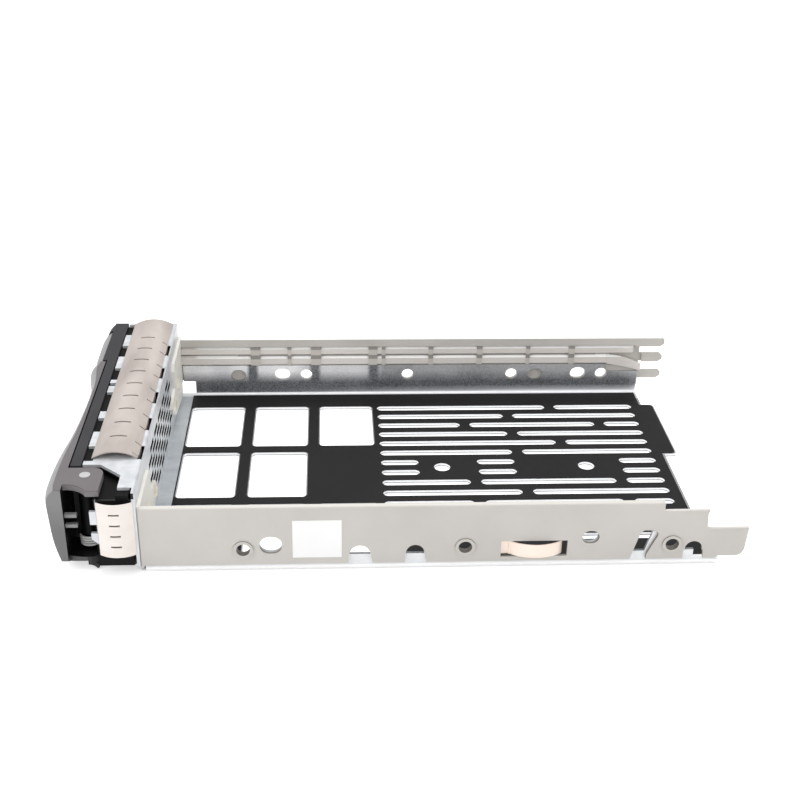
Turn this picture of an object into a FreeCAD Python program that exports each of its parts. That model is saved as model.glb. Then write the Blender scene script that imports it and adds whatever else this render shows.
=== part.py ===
import FreeCAD, Part
import math
import os

os.makedirs("parts", exist_ok=True)
V = FreeCAD.Vector

# Hot swap drive caddy for a 3.5 inch drive. Millimetres.
# X runs from the front bezel (minus) to the connector end (plus), Y across, Z up.
# X = 0 is the rear face of the vent wall, Y = 0 the drive's centreline, Z = 0 the underside.

# ---- driving dimensions ----
DRIVE_WIDTH = 101.6
DRIVE_GAP = 0.2
SHEET = 0.9               # floor and bracket steel
RAIL_SHEET = 0.9
FILM = 0.25
TRAY_LENGTH = 157.0       # vent wall to the floor's rear edge
RAIL_HEIGHT = 21.2
BEND_OUT = 1.9            # outer radius of the floor's long bends
RAIL_FOOT = 3.1           # the side rails end above the floor's bends
BEZEL_HEIGHT = 26.2
BEZEL_DEPTH = 16.0        # vent wall to the back of the front panel
PIPE_CHANNEL = 0.9        # how far the far rail jogs outwards behind the light pipes
HOLE_Z = 7.9              # drive screw height
SCREW_SPACING = 101.6

# ---- sizes that follow ----
INNER = DRIVE_WIDTH / 2 + DRIVE_GAP
WALL = INNER + SHEET                      # outer face of the floor's side flanges
SIDE = WALL + RAIL_SHEET                  # outer face of the near rail
FAR_SIDE = SIDE + PIPE_CHANNEL            # outer face of the far rail
TOP_IN = BEZEL_HEIGHT - SHEET
FLANGE_HEIGHT = HOLE_Z + 3.5              # the floor's own upturned sides carry the drive holes
HEM_FOOT = RAIL_HEIGHT - 2.7
PIPE_GAP = 0.6
PIPE_BAND = (FLANGE_HEIGHT + 0.2, HEM_FOOT - 0.3)       # both light pipes lie in this band
PIPE_SPLIT = PIPE_BAND[0] + (PIPE_BAND[1] - PIPE_BAND[0] - PIPE_GAP) * 8 / 15
PIPE_Z = [(PIPE_SPLIT + PIPE_GAP, PIPE_BAND[1]), (PIPE_BAND[0], PIPE_SPLIT)]       # upper, lower
OUT = FAR_SIDE + 10                       # well outside the part, for cutters
POCKET_Y = -SIDE + 14.4                   # far edge of the handle's corner pocket
BUTTON_Y = (FAR_SIDE - 26.5, FAR_SIDE - 4.4)


def along(x):
    """A place along the tray, kept in proportion to its length."""
    return x * TRAY_LENGTH / 157.0


def box(x0, x1, y0, y1, z0, z1):
    return Part.makeBox(x1 - x0, y1 - y0, z1 - z0, V(x0, y0, z0))


def prism(points, axis, a, b):
    """Polygon of two-number points pushed along an axis from a to b."""
    place = {
        "x": lambda p: V(a, p[0], p[1]),
        "y": lambda p: V(p[0], a, p[1]),
        "z": lambda p: V(p[0], p[1], a),
    }[axis]
    push = {"x": V(b - a, 0, 0), "y": V(0, b - a, 0), "z": V(0, 0, b - a)}[axis]
    corners = [place(p) for p in points]
    wire = Part.makePolygon(corners + [corners[0]])
    return Part.Face(wire).extrude(push)


def rod(r, start, end):
    a = V(*start)
    along = V(*end) - a
    return Part.makeCylinder(r, along.Length, a, along)


def tube(r_out, r_in, start, end):
    return rod(r_out, start, end).cut(rod(r_in, start, end))


def oval_y(x, z, length, height, y0, y1):
    """Round-ended hole through a rail, lying along X."""
    r = height / 2
    d = length / 2 - r
    mid = box(x - d, x + d, y0, y1, z - r, z + r)
    ends = [rod(r, (x + s * d, y0, z), (x + s * d, y1, z)) for s in (-1, 1)]
    return mid.fuse(ends)


def window(x0, x1, y0, y1, z0, z1, r):
    hole = box(x0, x1, y0, y1, z0, z1)
    upright = [e for e in hole.Edges if abs(e.Vertexes[0].Z - e.Vertexes[1].Z) > 0.01]
    return hole.makeFillet(r, upright)


def coil(start, r_coil, r_wire, pitch, turns, sides=6):
    """Helix of six-sided wire that climbs along Z from start."""
    helix = Part.makeHelix(pitch, pitch * turns, r_coil)
    ring = []
    for k in range(sides + 1):
        a = 2 * math.pi * (k + 0.5) / sides
        ring.append(V(r_coil + r_wire * math.cos(a), 0, r_wire * math.sin(a)))
    spring = Part.Wire(helix).makePipeShell([Part.makePolygon(ring)], True, True)
    spring.translate(V(*start))
    return spring


def save(name, shape):
    shape = shape.removeSplitter()
    solids = shape.Solids
    out = solids[0] if len(solids) == 1 else Part.makeCompound(solids)
    out.exportStep("parts/" + name + ".step")
    print(name, len(solids), "solid(s)", "valid" if out.isValid() else "NOT VALID")


# ---- floor: windows at the front, rows of cooling slots behind ----
WINDOW_PITCH_X = along(21.2)
WINDOW_PITCH_Y = 0.592 * INNER
WINDOW_X = WINDOW_PITCH_X - 4.0
WINDOW_Y = WINDOW_PITCH_Y - 4.1
WINDOW_START = 5.1
FAR_WINDOW_Y = 0.542 * INNER
windows = []
for row in range(3):
    for col in range(3):
        if row == 1 and col == 2:
            continue                      # left solid: the film's and floor's joint lands here
        x = WINDOW_START + col * WINDOW_PITCH_X
        y = FAR_WINDOW_Y - row * WINDOW_PITCH_Y
        windows.append((x, x + WINDOW_X, y - WINDOW_Y / 2, y + WINDOW_Y / 2))

SLOT_START = along(66.5)
SLOT_END = TRAY_LENGTH - 3.8
SLOT_SPAN = SLOT_END - SLOT_START
SLOT_PITCH = 0.1167 * INNER
SLOT_WIDTH = 0.54 * SLOT_PITCH
SLOT_BRIDGE = 3.1
FIRST_SLOT_Y = 6.5 * SLOT_PITCH + 0.45
BREAKS = {"a": [0.674], "b": [0.502], "c": [0.329, 0.845]}   # parts of the span
slots = []
for row, kind in enumerate("abcbabddcbcbab"):
    y = FIRST_SLOT_Y - row * SLOT_PITCH
    if kind == "d":                       # rows that make room for the two round holes
        ends = [(0, 0.136), (0.346, 0.483), (0.864, 1)]
        parts = [(SLOT_START + a * SLOT_SPAN, SLOT_START + b * SLOT_SPAN) for a, b in ends]
    else:
        cuts = [SLOT_START]
        for b in BREAKS[kind]:
            middle = SLOT_START + b * SLOT_SPAN
            cuts += [middle - SLOT_BRIDGE / 2, middle + SLOT_BRIDGE / 2]
        cuts.append(SLOT_END)
        parts = list(zip(cuts[::2], cuts[1::2]))
    for x0, x1 in parts:
        slots.append((x0, x1, y - SLOT_WIDTH / 2, y + SLOT_WIDTH / 2))
FLOOR_HOLES = [(SLOT_START + part * SLOT_SPAN, 0.45) for part in (0.218, 0.738)]
FLOOR_HOLE_R = 2.55
TAB = (0.145 * INNER, 0.798 * INNER)
TAB_END = TRAY_LENGTH + 4.0


def floor_cuts(z0, z1, grow):
    cuts = [window(x0 - grow, x1 + grow, y0 - grow, y1 + grow, z0, z1, 1.2 + grow)
            for x0, x1, y0, y1 in windows]
    for x0, x1, y0, y1 in slots:          # both ends taper to a blunt point
        mid = (y0 + y1) / 2
        taper = 0.4 * SLOT_WIDTH
        cuts.append(prism([(x0, mid), (x0 + taper, y0), (x1 - taper, y0), (x1, mid), (x1 - taper, y1),
                           (x0 + taper, y1)], "z", z0, z1))
    cuts += [rod(FLOOR_HOLE_R, (x, y, z0), (x, y, z1)) for x, y in FLOOR_HOLES]
    return Part.makeCompound(cuts)


FLANGE_FRONT = RAIL_SHEET + 0.3           # the floor's sides start behind the rails' front flanges
outer = box(0, TRAY_LENGTH, -WALL, WALL, 0, FLANGE_HEIGHT)
long_edges = [e for e in outer.Edges if e.Length > TRAY_LENGTH - 0.1 and e.Vertexes[0].Z < 0.01]
outer = outer.makeFillet(BEND_OUT, long_edges)
inner = box(-1, TRAY_LENGTH + 1, -INNER, INNER, SHEET, FLANGE_HEIGHT + 1)
long_edges = [e for e in inner.Edges if e.Length > TRAY_LENGTH and e.Vertexes[0].Z < SHEET + 0.01]
inner = inner.makeFillet(BEND_OUT - SHEET, long_edges)
floor_tray = outer.cut(inner)
TONGUE_FRONT = -14.0
TONGUE = (POCKET_Y + 2.4, INNER - 2)
floor_tray = floor_tray.fuse(box(TONGUE_FRONT, 1, TONGUE[0], TONGUE[1], 0, SHEET))
tab = window(TRAY_LENGTH - 6, TAB_END, TAB[0], TAB[1], 0, SHEET, 1.5)
floor_tray = floor_tray.fuse(tab)
floor_tray = floor_tray.cut(floor_cuts(-1, SHEET + 1, 0))
floor_tray = floor_tray.cut(box(-1, FLANGE_FRONT, -OUT, -INNER + 0.6, SHEET, RAIL_HEIGHT))
floor_tray = floor_tray.cut(box(-1, FLANGE_FRONT, INNER - 0.6, OUT, SHEET, RAIL_HEIGHT))
# the near flange stops short of the rail's rear tongue
floor_tray = floor_tray.cut(box(TRAY_LENGTH - 7, TRAY_LENGTH + 9, -OUT, -INNER + 0.6, RAIL_FOOT, RAIL_HEIGHT))
CORNER_RELIEF = box(-1, 5.2, INNER - 1.6, FAR_SIDE + 1, SHEET, 5.7)
floor_tray = floor_tray.cut(CORNER_RELIEF)

# ---- holes shared by each rail and the floor flange inside it ----
NEAR_RING_X = [along(27.4), along(87.0), along(143.5)]
EYELET_R = 2.2
NEAR_CUT_Y = (-OUT, -INNER + 4)
near_holes = [rod(EYELET_R, (x, NEAR_CUT_Y[0], HOLE_Z), (x, NEAR_CUT_Y[1], HOLE_Z)) for x in NEAR_RING_X]
near_holes.append(oval_y(along(34.8), 9.15, 6.1, 5.4, *NEAR_CUT_Y))
near_holes.append(oval_y(along(121.0), 10.4, 4.7, 4.0, *NEAR_CUT_Y))
D_HOLES = [(along(58.6), 5.5), (along(73.5), 4.9), (along(149.6), 4.7)]     # middle, width
D_FOOT = 5.4
D_TOP = 8.7
for mid, width in D_HOLES:                # flat foot, arched top
    x0 = mid - width / 2
    x1 = mid + width / 2
    spring_line = D_TOP - width / 2
    arch = rod(width / 2, (mid, NEAR_CUT_Y[0], spring_line), (mid, NEAR_CUT_Y[1], spring_line))
    near_holes.append(arch.common(box(x0, x1, *NEAR_CUT_Y, D_FOOT, D_TOP + 1)))
    near_holes.append(box(x0, x1, *NEAR_CUT_Y, D_FOOT, spring_line + 0.6))
SLANT_X = along(133.1)
slant = [(0.2, 5.2), (3.2, 5.2), (4.9, 10.8), (4.8, 11.6), (1.4, 11.6)]
near_holes.append(prism([(SLANT_X + x, z) for x, z in slant], "y", *NEAR_CUT_Y))
SPRING_X = along(96.7)
SPRING_LENGTH = 18.1
SPRING_Z = (4.5, 9.5)
spring_slot = box(SPRING_X, SPRING_X + SPRING_LENGTH, *NEAR_CUT_Y, *SPRING_Z)
near_cut = Part.makeCompound(near_holes)

FAR_SCREW_X = [TRAY_LENGTH - 12.6 - SCREW_SPACING, TRAY_LENGTH - 12.6]
FAR_ROUND_X = [FAR_SCREW_X[0] + 34.6, FAR_SCREW_X[0] + 70.4]
FAR_CUT_Y = (INNER - 5, OUT)
far_holes = [rod(2.0, (x, FAR_CUT_Y[0], HOLE_Z), (x, FAR_CUT_Y[1], HOLE_Z))
             for x in FAR_SCREW_X + FAR_ROUND_X]
far_holes += [oval_y(x - 8.1, 8.0, 5.3, 4.3, *FAR_CUT_Y) for x in FAR_SCREW_X]
blind = [oval_y(x - 23.0, 7.8, 5.0, 4.2, FAR_CUT_Y[0], WALL) for x in FAR_SCREW_X]
far_cut = Part.makeCompound(far_holes)

floor_tray = floor_tray.cut(near_cut).cut(far_cut).cut(Part.makeCompound(blind))
floor_tray = floor_tray.cut(box(SPRING_X - 6.7, SPRING_X + SPRING_LENGTH + 1.2, -OUT, -INNER + 0.6,
                                RAIL_FOOT + 0.3, RAIL_HEIGHT))
PIPE_BEND_X = TRAY_LENGTH - 11.0                       # where the lower light pipe starts to drop
pipe_room = PIPE_Z[1][0] - 3.0
floor_tray = floor_tray.cut(box(PIPE_BEND_X, TRAY_LENGTH + 9, INNER - 0.6, OUT, pipe_room, RAIL_HEIGHT))

# ---- black film on the floor ----
FILM_FRONT = 4.4
film_half = INNER - 1.7
floor_film = box(FILM_FRONT, TRAY_LENGTH - 0.8, -film_half, film_half, SHEET, SHEET + FILM)
floor_film = floor_film.fuse(window(TRAY_LENGTH - 6, TAB_END - 0.5, TAB[0] + 0.5, TAB[1] - 0.5,
                                    SHEET, SHEET + FILM, 1.2))
floor_film = floor_film.cut(floor_cuts(0, SHEET + 1, 0.35))

# ---- near rail ----
L = TRAY_LENGTH
STEP_X = L - 16.7                         # where the rail's top steps down
near_outline = [
    (0, RAIL_FOOT), (L - 1.2, RAIL_FOOT), (L - 0.5, 3.8), (L + 5.0, 3.8), (L + 6.2, 4.5), (L + 6.8, 6.0),
    (L + 7.2, 12.8),
    (L - 4.3, 12.8), (L - 4.6, RAIL_HEIGHT - 3.8), (L - 4.2, RAIL_HEIGHT - 2.6), (STEP_X, RAIL_HEIGHT - 2.6),
    (STEP_X, RAIL_HEIGHT), (0, RAIL_HEIGHT),
]
near_rail = prism(near_outline, "y", -SIDE, -WALL)
hem = box(0, STEP_X, -SIDE, -INNER, HEM_FOOT, RAIL_HEIGHT)
near_rail = near_rail.fuse(hem)
top_edges = [e for e in near_rail.Edges
             if e.Length > STEP_X - 2 and min(v.Z for v in e.Vertexes) > RAIL_HEIGHT - 0.01]
near_rail = near_rail.makeFillet(0.6, top_edges)


def front_flange(side, wall):
    """The rail's inward flange, riveted to the vent wall."""
    outline = [
        (wall, 2.3), (wall, RAIL_HEIGHT), (wall - 19.8, RAIL_HEIGHT), (wall - 21.8, RAIL_HEIGHT - 2.0),
        (wall - 21.8, 13.4), (wall - 29.8, 11.8), (wall - 31.0, 10.4), (wall - 30.4, 8.4),
        (wall - 22.8, 4.2), (wall - 8.8, 2.3),
    ]
    return prism([(side * y, z) for y, z in outline], "x", 0, RAIL_SHEET)


near_rail = near_rail.fuse(front_flange(-1, SIDE))
near_rail = near_rail.cut(near_cut).cut(spring_slot)
# pressed scoops below the D holes and the slanted slot
# under each arched hole the rail's outer sheet is open down to its edge, so the floor's flange shows
scoops = []
SCOOP_Y = (-OUT, -WALL)
for mid, width in D_HOLES:
    x0 = mid - width / 2 - 0.3
    x1 = mid + width / 2 + 0.3
    top = D_FOOT + 0.5
    scoops.append(prism([(x0 - 0.1, 0), (x1 + 0.7, 0), (x1, top), (x0, top)], "y", *SCOOP_Y))
wide_slant = [(-1.6, 0), (3.3, 0), (3.7, 4.6), (6.3, 10.6), (6.2, 11.6), (5.2, 12.4), (2.4, 12.4),
              (1.4, 11.6), (-0.3, 5.2)]
scoops.append(prism([(SLANT_X + x, z) for x, z in wide_slant], "y", *SCOOP_Y))
near_rail = near_rail.cut(Part.makeCompound(scoops))
# a fine groove parts the rail's front corner from the bracket
near_rail = near_rail.cut(box(-1, 0.35, -SIDE - 1, -SIDE + 0.45, 0, RAIL_HEIGHT + 1))

near_eyelets = []
for x in NEAR_RING_X:
    near_eyelets.append(tube(EYELET_R - 0.05, 1.85, (x, -SIDE - 0.3, HOLE_Z), (x, -INNER, HOLE_Z))
                        .fuse(tube(2.7, 1.85, (x, -SIDE - 0.3, HOLE_Z), (x, -SIDE, HOLE_Z))))
near_eyelets = Part.makeCompound(near_eyelets)

# ---- ground spring: bows out through the near rail's slot ----
LEAF = 0.25
LEAF_Z = (SPRING_Z[0] + 0.45, SPRING_Z[1] - 0.45)
bow0 = SPRING_X + 2.6
bow1 = SPRING_X + 16.7
y_in = -WALL + 0.02
crest = -SIDE - 1.5
bow_out = Part.Arc(V(bow0, y_in - LEAF, 0), V((bow0 + bow1) / 2, crest, 0), V(bow1, y_in - LEAF + 0.1, 0))
bow_in = Part.Arc(V(bow1, y_in + 0.1, 0), V((bow0 + bow1) / 2, crest + LEAF, 0), V(bow0, y_in, 0))
leaf_wire = Part.Wire([
    bow_out.toShape(),
    Part.makeLine(V(bow1, y_in - LEAF + 0.1, 0), V(bow1, y_in + 0.1, 0)),
    bow_in.toShape(),
    Part.makeLine(V(bow0, y_in, 0), V(bow0, y_in - LEAF, 0)),
])
ground_spring = Part.Face(leaf_wire).extrude(V(0, 0, LEAF_Z[1] - LEAF_Z[0]))
ground_spring.translate(V(0, 0, LEAF_Z[0]))
foot = box(SPRING_X - 5.2, bow0 + 0.1, -WALL, -WALL + LEAF, *LEAF_Z)
heel = box(bow0 - 0.4, bow0 + 0.3, -WALL - LEAF, -WALL + LEAF, *LEAF_Z)
ground_spring = ground_spring.fuse(foot).fuse(heel)

LABEL_X = along(40.6)
blank_label = box(LABEL_X, LABEL_X + 13.1, -SIDE - 0.12, -SIDE, 5.2, RAIL_HEIGHT - 4.3)

# ---- far rail: jogged outwards behind the light pipes, hemmed at the top ----
JOG_Z = FLANGE_HEIGHT - 1.0
far_section = [
    (WALL, RAIL_FOOT), (SIDE, RAIL_FOOT), (SIDE, JOG_Z), (FAR_SIDE, JOG_Z + PIPE_CHANNEL),
    (FAR_SIDE, RAIL_HEIGHT), (INNER, RAIL_HEIGHT), (INNER, HEM_FOOT), (WALL, HEM_FOOT),
    (WALL, RAIL_HEIGHT - RAIL_SHEET), (SIDE, RAIL_HEIGHT - RAIL_SHEET),
    (SIDE, JOG_Z + PIPE_CHANNEL + 0.3), (WALL, JOG_Z + 0.3),
]
FAR_END = TRAY_LENGTH + 0.5
far_rail = prism(far_section, "x", 0, FAR_END)
FINGER_TIP = TRAY_LENGTH + 8.4
FINGERS = [(RAIL_HEIGHT - 3.2, RAIL_HEIGHT, INNER, FAR_SIDE),
           (PIPE_Z[1][0] + 0.3, PIPE_Z[1][1], WALL, FAR_SIDE), (5.7, 8.7, WALL, SIDE)]
for z0, z1, y0, y1 in FINGERS:
    outline = [(FAR_END - 2, z0), (FINGER_TIP - 1.3, z0), (FINGER_TIP, z0 + 1.0),
               (FINGER_TIP, z1 - 0.8), (FINGER_TIP - 0.9, z1), (FAR_END - 2, z1)]
    finger = prism(outline, "y", y0, y1)
    far_rail = far_rail.fuse(finger)
far_rail = far_rail.fuse(front_flange(1, SIDE))
PIPE_Y = (INNER + 0.2, SIDE - 0.2)
far_rail = far_rail.cut(box(-1, RAIL_SHEET + 0.01, INNER, SIDE, FLANGE_HEIGHT - 0.1, HEM_FOOT))
tip_cut = (FLANGE_HEIGHT - 0.4, RAIL_HEIGHT - 3.3)
far_rail = far_rail.cut(box(FAR_END - 2.5, FAR_END + 0.8, INNER - 1, SIDE, *tip_cut))
far_rail = far_rail.cut(far_cut).cut(CORNER_RELIEF)

# ---- light pipes and the clips that hold them ----
PIPE_FRONT = -19.6
PIPE_END = TRAY_LENGTH + 1.0


def bar(x0, x1, zs):
    b = box(x0, x1, PIPE_Y[0], PIPE_Y[1], zs[0], zs[1])
    soft = [e for e in b.Edges if e.Length > 50 and e.Vertexes[0].Y < PIPE_Y[0] + 0.01]
    crown = [e for e in soft if e.Vertexes[0].Z > zs[1] - 0.01]
    b = b.makeChamfer(0.75, crown)        # the broad upper edge catches the light
    foot = [e for e in b.Edges if e.Length > 50 and e.Vertexes[0].Y < PIPE_Y[0] + 0.01
            and e.Vertexes[0].Z < zs[0] + 0.01]
    return b.makeChamfer(0.3, foot)


light_pipe_upper = bar(PIPE_FRONT, FAR_END - 2.6, PIPE_Z[0])
light_pipe_lower = bar(PIPE_FRONT, PIPE_BEND_X + 1, PIPE_Z[1])
drop_y = (INNER + 0.05, WALL - 0.05)
z_low, z_high = PIPE_Z[1]
upper_curve = Part.BSplineCurve()
upper_curve.interpolate([V(PIPE_BEND_X, 0, z_high), V(PIPE_BEND_X + 5, 0, z_high - 0.7),
                         V(PIPE_END, 0, z_low - 0.3)])
lower_curve = Part.BSplineCurve()
lower_curve.interpolate([V(PIPE_END, 0, z_low - 2.7), V(PIPE_BEND_X + 5, 0, z_low - 0.9),
                         V(PIPE_BEND_X, 0, z_low)])
drop = Part.Face(Part.Wire([
    upper_curve.toShape(),
    Part.makeLine(V(PIPE_END, 0, z_low - 0.3), V(PIPE_END, 0, z_low - 2.7)),
    lower_curve.toShape(),
    Part.makeLine(V(PIPE_BEND_X, 0, z_low), V(PIPE_BEND_X, 0, z_high)),
])).extrude(V(0, drop_y[1] - drop_y[0], 0))
drop.translate(V(0, drop_y[0], 0))
light_pipe_lower = light_pipe_lower.fuse(drop)

CLIPS = [(24.2, 27.4), (36.6, 37.8), (44.5, 47.9), (64.0, 67.0), (68.5, 69.7), (84.4, 86.0),
         (101.0, 102.8), (117.9, 119.2), (132.6, 134.6)]
RIB_Z = (PIPE_Z[1][1] + 0.08, PIPE_Z[0][0] - 0.08)
pipe_carrier = box(along(20), along(142), PIPE_Y[0] + 0.4, SIDE, RIB_Z[0], RIB_Z[1])
for x0, x1 in [(along(a), along(b)) for a, b in CLIPS]:
    pipe_carrier = pipe_carrier.fuse(box(x0, x1, INNER, PIPE_Y[0], PIPE_Z[1][0] - 0.05, PIPE_Z[0][1] + 0.1))
    pipe_carrier = pipe_carrier.fuse(box(x0, x1, INNER, SIDE, RIB_Z[0], RIB_Z[1]))

# ---- front bracket: vent wall, top plate and side plates of one folded sheet ----
PLATE_FRONT = -15.6
wall = box(-SHEET, 0, -SIDE, FAR_SIDE, SHEET, BEZEL_HEIGHT)
PIPE_PASS = (PIPE_Z[1][0] - 0.4, PIPE_Z[0][1] + 0.4)
wall = wall.cut(box(-SHEET - 1, 1, INNER, OUT, *PIPE_PASS))
VENT_PITCH_Y = 9.1
VENT_PITCH_Z = 2.65
VENT = (7.0, 2.0)
vents = []
for row in range(7):
    z = 4.6 + row * VENT_PITCH_Z
    shift = VENT_PITCH_Y / 2 if row % 2 else 0
    for col in range(11 - row % 2):
        y = -45.5 + shift + col * VENT_PITCH_Y
        vents.append(box(-SHEET - 1, 1, y - VENT[0] / 2, y + VENT[0] / 2, z - VENT[1] / 2, z + VENT[1] / 2))
# the flanges of the rails cover the ends of the wall, so the vents stop short of them
vents = [v for v in vents if abs(v.BoundBox.Center.y) < SIDE - 28.8 or
         (abs(v.BoundBox.Center.y) < SIDE - 25.8 and v.BoundBox.Center.z > 12)]
wall = wall.cut(Part.makeCompound(vents))
TOP_OUTLINE = [
    (0, -SIDE), (0, FAR_SIDE), (PLATE_FRONT, FAR_SIDE), (PLATE_FRONT, POCKET_Y), (-10.8, POCKET_Y),
    (-4.7, POCKET_Y - 5.6), (-4.7, -SIDE + 2.6), (-SHEET, -SIDE + 2.6), (-SHEET, -SIDE),
]
top_plate = prism(TOP_OUTLINE, "z", TOP_IN, BEZEL_HEIGHT)
TOOTH_PITCH = 16.15
TOOTH_HALF = 4.1
TOOTH_FIRST = FAR_SIDE - 13.5
GASKET_Y = (POCKET_Y + 3.0, FAR_SIDE - 1.6)
TEETH = int((GASKET_Y[1] - GASKET_Y[0]) / TOOTH_PITCH)
notches = []
for k in range(-1, TEETH):
    y1 = TOOTH_FIRST - k * TOOTH_PITCH - TOOTH_HALF
    y0 = y1 - (TOOTH_PITCH - 2 * TOOTH_HALF)
    if k >= 0:
        notches.append(box(-1.5, -0.3, y0 + 0.7, y1, TOP_IN - 1, BEZEL_HEIGHT + 1))
    notches.append(box(PLATE_FRONT - 1, -13.2, y0, y1, TOP_IN - 1, BEZEL_HEIGHT + 1))
split_y = TOOTH_FIRST - 2 * TOOTH_PITCH   # one tooth is split, the next is cut short
notches.append(box(PLATE_FRONT - 1, -13.2, split_y, split_y + TOOTH_HALF / 2, TOP_IN - 1, BEZEL_HEIGHT + 1))
short_y = split_y - TOOTH_PITCH + TOOTH_HALF
notches.append(box(PLATE_FRONT - 1, -13.2, short_y - TOOTH_HALF, short_y + 1, TOP_IN - 1, BEZEL_HEIGHT + 1))
SIDE_TOP = BEZEL_HEIGHT - 2.4
SIDE_FOOT = 7.0
near_plate = box(-12.1, 0, -SIDE, -WALL, SIDE_FOOT, SIDE_TOP)
near_plate = near_plate.cut(box(-13, -10.4, *NEAR_CUT_Y, SIDE_TOP - 3.4, SIDE_TOP + 1))
near_plate = near_plate.cut(box(-13, -10.4, *NEAR_CUT_Y, SIDE_TOP - 10.1, SIDE_TOP - 7.4))
foot_cut = [(-13, 3), (-9.9, 3), (-9.9, SIDE_TOP - 14.0), (-12.2, SIDE_TOP - 11.8), (-13, SIDE_TOP - 11.8)]
near_plate = near_plate.cut(prism(foot_cut, "y", *NEAR_CUT_Y))
near_plate = near_plate.fuse(box(-SHEET, 0, -SIDE, -WALL, 3.3, SIDE_FOOT + 1))
far_plate = box(-12.1, 0, SIDE, FAR_SIDE, SIDE_FOOT, TOP_IN + 0.1)
wall_foot = [(-OUT, -1), (-OUT, 3.3), (-SIDE, 3.3), (-INNER, SHEET), (-INNER, -1)]
wall = wall.cut(prism(wall_foot, "x", -SHEET - 1, 1))
front_bracket = wall.fuse(top_plate)
top_bend = [e for e in front_bracket.Edges
            if e.Length > 50 and abs(e.BoundBox.Center.x) < 0.01 and e.BoundBox.ZMin > BEZEL_HEIGHT - 0.01]
front_bracket = front_bracket.makeFillet(0.8, top_bend)
front_bracket = front_bracket.cut(Part.makeCompound(notches))
front_bracket = front_bracket.fuse(near_plate).fuse(far_plate)

# rivets that tie the rails' front flanges to the vent wall
RIVETS = [(side * y, z) for side in (-1, 1) for y, z in ((SIDE - 14.8, 11.4), (SIDE - 26.8, 9.9))]
rivet_holes = Part.makeCompound([rod(1.3, (-5, y, z), (5, y, z)) for y, z in RIVETS])
front_bracket = front_bracket.cut(rivet_holes)
near_rail = near_rail.cut(rivet_holes)
far_rail = far_rail.cut(rivet_holes)
flange_rivets = []
for y, z in RIVETS:
    rivet = rod(1.28, (-SHEET, y, z), (RAIL_SHEET, y, z))
    head = Part.makeCone(2.2, 1.5, 0.7, V(RAIL_SHEET, y, z), V(1, 0, 0))
    tail = rod(1.8, (-SHEET - 0.45, y, z), (-SHEET, y, z))
    flange_rivets.append(rivet.fuse([head, tail]))
flange_rivets = Part.makeCompound(flange_rivets)

# ---- spring gaskets ----
SKIN = 0.35


def bowed_strip(chord0, chord1, rise):
    """Bowed strip's section in a plane: chord along the first axis, bow along the second."""
    mid = (chord0 + chord1) / 2
    arc_out = Part.Arc(V(chord0, SKIN, 0), V(mid, rise, 0), V(chord1, SKIN, 0)).toShape()
    arc_in = Part.Arc(V(chord1, 0, 0), V(mid, rise - SKIN, 0), V(chord0, 0, 0)).toShape()
    return Part.Face(Part.Wire([
        arc_out,
        Part.makeLine(V(chord1, SKIN, 0), V(chord1, 0, 0)),
        arc_in,
        Part.makeLine(V(chord0, 0, 0), V(chord0, SKIN, 0)),
    ]))


top_gasket = bowed_strip(-13.7, -1.25, 2.25).extrude(V(0, 0, GASKET_Y[1] - GASKET_Y[0]))
top_gasket.rotate(V(0, 0, 0), V(1, 0, 0), 90)
top_gasket.translate(V(0, GASKET_Y[1], BEZEL_HEIGHT))
slits = []
SLIT_PITCH = 8.05
for k in range(int((GASKET_Y[1] - GASKET_Y[0] - 14.3) / SLIT_PITCH)):
    y = GASKET_Y[1] - 14.3 - k * SLIT_PITCH
    slits.append(box(-9.9, -5.3, y - 0.3, y + 0.3, BEZEL_HEIGHT, BEZEL_HEIGHT + 4))
hooks = []
for k in range(TEETH):                    # hooks drop into the bracket's rear slots; nicks free their ends
    y1 = TOOTH_FIRST - k * TOOTH_PITCH - TOOTH_HALF
    y0 = y1 - (TOOTH_PITCH - 2 * TOOTH_HALF) + 0.7
    if y0 < GASKET_Y[0] + 1:
        y0 = GASKET_Y[0] + 1
    hooks.append(box(-1.45, -1.15, y0 + 0.6, y1 - 0.6, BEZEL_HEIGHT - 1.6, BEZEL_HEIGHT + 0.35))
    for y in (y0, y1):
        nick = [(-2.9, y + 0.5), (-2.9, y + 0.1), (-1, y - 0.8), (-1, y - 0.4)]
        slits.append(prism(nick, "z", BEZEL_HEIGHT, BEZEL_HEIGHT + 4))
top_gasket = top_gasket.cut(Part.makeCompound(slits)).fuse(hooks)

SIDE_GASKET_Z = (7.1, SIDE_TOP - 0.4)
side_gasket = bowed_strip(-10.2, -0.7, 1.9).extrude(V(0, 0, SIDE_GASKET_Z[1] - SIDE_GASKET_Z[0]))
side_gasket = side_gasket.mirror(V(0, 0, 0), V(0, 1, 0))
side_gasket.translate(V(0, -SIDE, SIDE_GASKET_Z[0]))
slit_tops = [SIDE_TOP - 3.2 - k * 3.3 for k in range(4)]
side_slits = [box(-6.9, -4.1, -OUT, -SIDE, top - 0.5, top) for top in slit_tops]
side_gasket = side_gasket.cut(Part.makeCompound(side_slits))

# ---- pivot of the handle ----
PIVOT = (-14.2, -SIDE + 9.5)
PIN_R = 1.45
BOSS_R = 2.2
LUG_TOP = (BEZEL_HEIGHT - 2.0, BEZEL_HEIGHT - 0.2)
LUG_FOOT = (1.6, 4.2)
pivot_pin = rod(PIN_R, (PIVOT[0], PIVOT[1], 1.0), (PIVOT[0], PIVOT[1], LUG_TOP[1] + 0.05))
pin_clip = tube(2.7, PIN_R + 0.02, (PIVOT[0], PIVOT[1], 1.0), (PIVOT[0], PIVOT[1], 1.4))

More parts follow.
